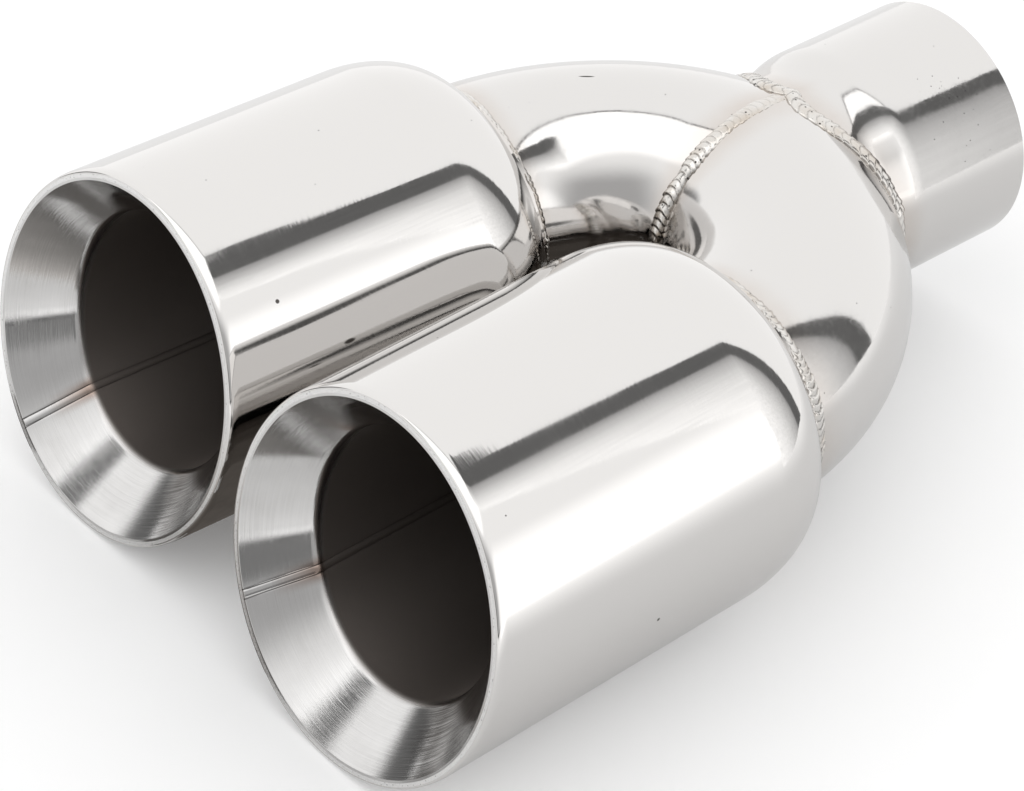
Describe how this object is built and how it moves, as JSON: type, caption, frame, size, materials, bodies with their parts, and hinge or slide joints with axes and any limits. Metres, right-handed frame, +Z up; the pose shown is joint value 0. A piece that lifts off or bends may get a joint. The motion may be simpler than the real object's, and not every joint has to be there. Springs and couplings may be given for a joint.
{
  "type": "exhaust tip",
  "caption": "Exhaust tip with twin slash-cut, double-walled round outlets side by side, bent elbows mitred together, and one slip-on inlet.",
  "frame": {"origin": "centre of the inlet's open end, on the inlet's axis", "axes": "+Y out of the inlet towards the pipe it slips over, outlets face -Y, X across the two tips with the longer tip at +X, +Z up"},
  "size_m": [0.2139, 0.2705, 0.1016],
  "materials": {
    "polished_shell": "mirror-polished stainless steel",
    "polished_tube": "polished stainless steel tube",
    "brushed_liner": "brushed stainless steel",
    "ground_weld": "ground flush stainless weld",
    "weld_bead": "brushed stainless weld bead"
  },
  "bodies": {
    "root": {"inlet_tube": "polished_tube", "inlet_weld_bead": "weld_bead", "mitre_weld_bead": "weld_bead", "left_elbow": "polished_tube", "left_outer_shell": "polished_shell", "left_inner_liner": "brushed_liner", "left_rim_weld": "ground_weld", "left_neck_weld_bead": "weld_bead", "right_elbow": "polished_tube", "right_outer_shell": "polished_shell", "right_inner_liner": "brushed_liner", "right_rim_weld": "ground_weld", "right_neck_weld_bead": "weld_bead"}
  },
  "joints": []
}
